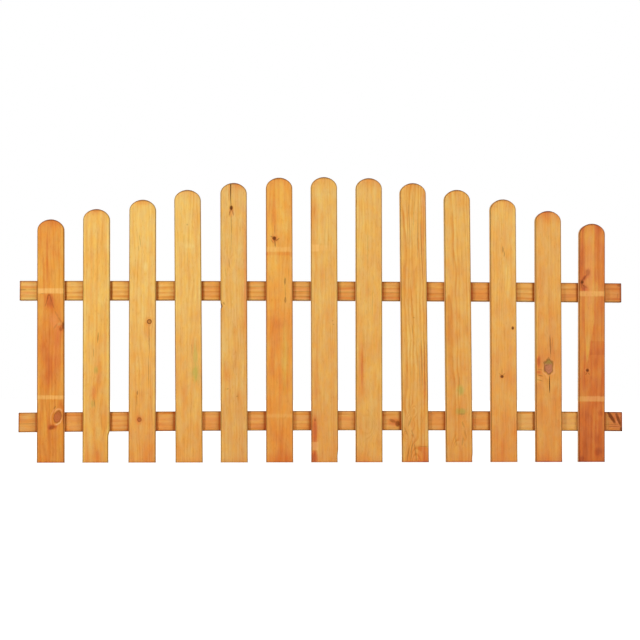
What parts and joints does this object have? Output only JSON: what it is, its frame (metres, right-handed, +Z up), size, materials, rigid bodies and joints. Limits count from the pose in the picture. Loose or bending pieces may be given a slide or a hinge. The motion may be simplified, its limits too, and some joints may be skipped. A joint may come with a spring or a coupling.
{
  "type": "arched garden fence panel",
  "caption": "Low garden fence panel of upright round-headed pickets across the front of horizontal rails, its tops rising in an arch, with rail stubs at the ends for the posts.",
  "frame": {"origin": "middle of the lower rail's back face, the face that lies against the posts", "axes": "+X along the panel to the right as seen from the front, +Y from the pickets back towards the posts, +Z up"},
  "size_m": [1.8, 0.048, 0.8499],
  "materials": {
    "honey_picket": "satin",
    "orange_picket": "satin",
    "russet_picket": "satin",
    "rail": "satin",
    "screw": "satin"
  },
  "bodies": {
    "root": {"picket_01": "orange_picket", "picket_02": "honey_picket", "picket_03": "honey_picket", "picket_04": "honey_picket", "picket_05": "honey_picket", "picket_06": "orange_picket", "picket_07": "honey_picket", "picket_08": "honey_picket", "picket_09": "honey_picket", "picket_10": "honey_picket", "picket_11": "honey_picket", "picket_12": "honey_picket", "picket_13": "russet_picket", "upper_rail": "rail", "lower_rail": "rail"}
  },
  "joints": []
}
